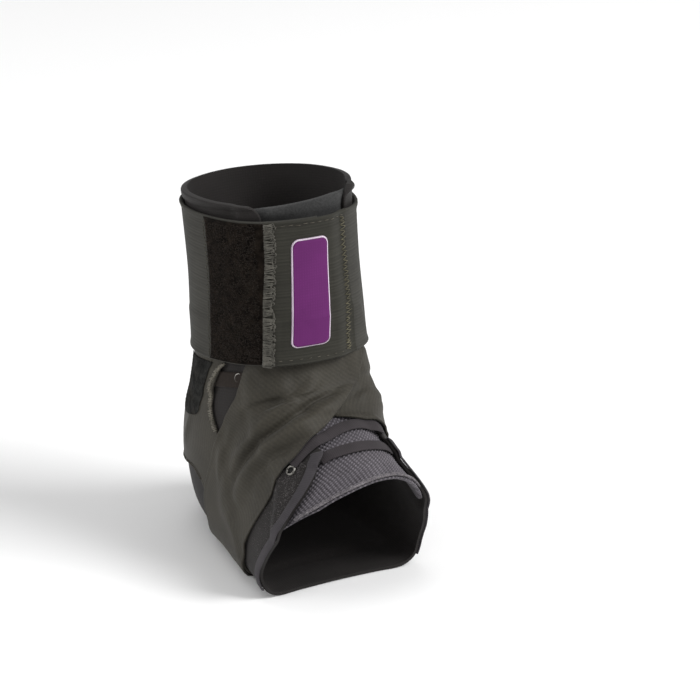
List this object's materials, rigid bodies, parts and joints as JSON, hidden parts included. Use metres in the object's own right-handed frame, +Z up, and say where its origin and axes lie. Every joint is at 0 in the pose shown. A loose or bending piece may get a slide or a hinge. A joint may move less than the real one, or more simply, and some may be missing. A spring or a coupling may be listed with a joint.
{
  "type": "ankle brace",
  "caption": "Lace-up cloth ankle brace for a right foot, with crossing heel straps, padded tongue and an elastic closing cuff, kept in its worn shape.",
  "frame": {"origin": "on the flat of the sole, under the leg, at the middle of the foot's width", "axes": "+Z up, square to the standing surface; toes towards -Y and heel towards +Y; +X towards the inner (medial) side of a right foot"},
  "size_m": [0.0991, 0.1604, 0.1939],
  "materials": {
    "tongue_mesh": "knobbly padded mesh",
    "boot_nylon": "matt coated nylon",
    "binding_tape": "matt grosgrain tape",
    "toe_edge_felt": "fuzzy stitched edge",
    "lace_webbing": "flat woven lace",
    "eyelet_metal": "dark nickel",
    "strap_nylon": "matt twill webbing",
    "cuff_elastic": "matt ribbed elastic",
    "loop_pile": "short loop pile",
    "label_woven": "smooth woven patch with a pale border"
  },
  "bodies": {
    "root": {"tongue": "tongue_mesh", "lateral_quarter": "boot_nylon", "medial_quarter": "boot_nylon", "front_binding_lateral": "binding_tape", "front_binding_medial": "binding_tape", "tongue_toe_edge": "toe_edge_felt", "cross_lace": "lace_webbing", "front_lace": "lace_webbing", "upper_lace_band_lateral": "lace_webbing", "upper_lace_band_medial": "lace_webbing", "eyelet_front_lateral": "eyelet_metal", "eyelet_front_medial": "eyelet_metal", "eyelet_upper_lateral": "eyelet_metal", "eyelet_upper_medial": "eyelet_metal", "strap_inner": "strap_nylon", "strap_outer": "strap_nylon", "cuff_band": "cuff_elastic", "cuff_loop_patch": "loop_pile", "cuff_flap": "cuff_elastic", "label": "label_woven"}
  },
  "joints": []
}
